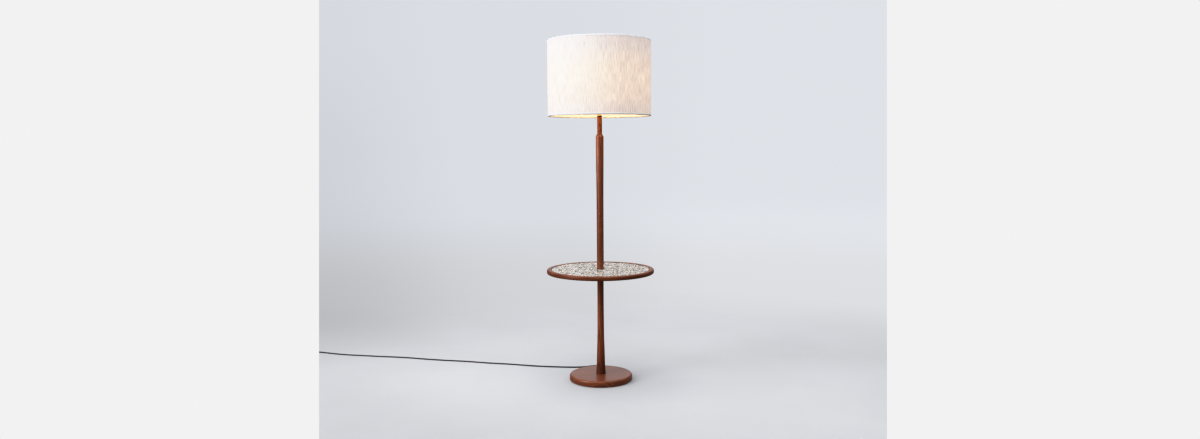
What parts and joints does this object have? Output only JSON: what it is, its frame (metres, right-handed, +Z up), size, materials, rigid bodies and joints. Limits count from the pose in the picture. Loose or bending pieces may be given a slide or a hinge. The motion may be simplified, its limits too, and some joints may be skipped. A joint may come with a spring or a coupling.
{
  "type": "floor lamp with table",
  "caption": "Floor lamp on a turned wooden post with a round tiled side table halfway up, a round weighted base and a linen drum shade.",
  "frame": {"origin": "centre of the underside of the base, on the floor", "axes": "+Z up along the post, -Y towards the viewer, +X to the viewer's right; the lead leaves the base towards +Y"},
  "size_m": [1.8034, 0.7715, 1.5227],
  "materials": {
    "walnut": "satin lacquered walnut, straight grain along the post",
    "walnut_base": "satin lacquered walnut",
    "walnut_rim": "satin lacquered walnut",
    "felt": "pressed felt",
    "cast_iron": "as cast, painted",
    "zinc_steel": "zinc plated",
    "black_plastic": "moulded",
    "black_metal": "dark bronze paint",
    "plywood": "sealed birch plywood",
    "mortar": "cement mortar",
    "glazed_tiles": "gloss glazed tesserae with grey brown grout",
    "harp_brass": "brass plated steel",
    "brass": "polished brass",
    "insulating_paper": "pressboard",
    "bakelite": "moulded phenolic",
    "aluminium": "rolled",
    "bulb_glass": "frosted, lit",
    "linen": "natural linen with slubs",
    "liner": "translucent styrene",
    "linen_tape": "folded linen tape",
    "ring_wire": "white powder coat",
    "lead_jacket": "dark brown PVC",
    "wire_jacket": "PVC insulation",
    "tie": "hook and loop tape",
    "plug_plastic": "moulded PVC",
    "plug_brass": "nickel washed brass"
  },
  "bodies": {
    "stand": {"base_felt": "felt", "base_disc": "walnut_base", "base_weight": "cast_iron", "weight_screws": "zinc_steel", "base_washer": "zinc_steel", "base_nut": "zinc_steel", "base_gland": "black_plastic", "strain_relief": "lead_jacket", "lower_post": "walnut", "upper_post": "walnut", "neck": "walnut", "lamp_tube": "zinc_steel", "neck_ring": "black_metal", "neck_cap": "brass", "table_rim": "walnut_rim", "table_deck": "plywood", "mortar_bed": "mortar", "table_tiles": "glazed_tiles", "table_plate": "black_metal", "table_screws": "zinc_steel", "harp_saddle": "harp_brass", "harp": "harp_brass", "socket_cap": "brass", "socket_shell": "brass", "socket_liner": "insulating_paper", "socket_core": "bakelite", "screw_shell": "aluminium", "terminal_screws": "brass", "bulb_base": "aluminium", "bulb_glass": "bulb_glass", "inner_lead": "lead_jacket", "socket_wires": "wire_jacket", "lead": "lead_jacket", "lead_coil": "lead_jacket", "lead_tail": "lead_jacket", "coil_tie": "tie", "plug_body": "plug_plastic", "plug_blades": "plug_brass"},
    "shade": {"shade_fabric": "linen", "shade_liner": "liner", "shade_bottom_trim": "linen_tape", "shade_top_trim": "linen_tape", "shade_bottom_ring": "ring_wire", "shade_top_ring": "ring_wire", "shade_spider": "ring_wire", "harp_stud": "brass"},
    "finial": {"finial": "brass"},
    "switch": {"switch_knob": "black_plastic"},
    "sleeve_left": {"harp_sleeve_left": "harp_brass"},
    "sleeve_right": {"harp_sleeve_right": "harp_brass"}
  },
  "joints": [
    {"name": "shade_swivel", "type": "hinge", "parent": "stand", "child": "shade", "pos_m": [0, 0, 1.493], "axis": [0, 0, 1], "continuous": true},
    {"name": "finial_turn", "type": "hinge", "parent": "shade", "child": "finial", "pos_m": [0, 0, 1.505], "axis": [0, 0, 1], "continuous": true},
    {"name": "switch_turn", "type": "hinge", "parent": "stand", "child": "switch", "pos_m": [0, -0.02, 1.2272], "axis": [0, -1, 0], "continuous": true},
    {"name": "sleeve_left_slide", "type": "slide", "parent": "stand", "child": "sleeve_left", "axis": [0, 0, 1], "range_m": [0, 0.013]},
    {"name": "sleeve_right_slide", "type": "slide", "parent": "stand", "child": "sleeve_right", "axis": [0, 0, 1], "range_m": [0, 0.013]}
  ]
}
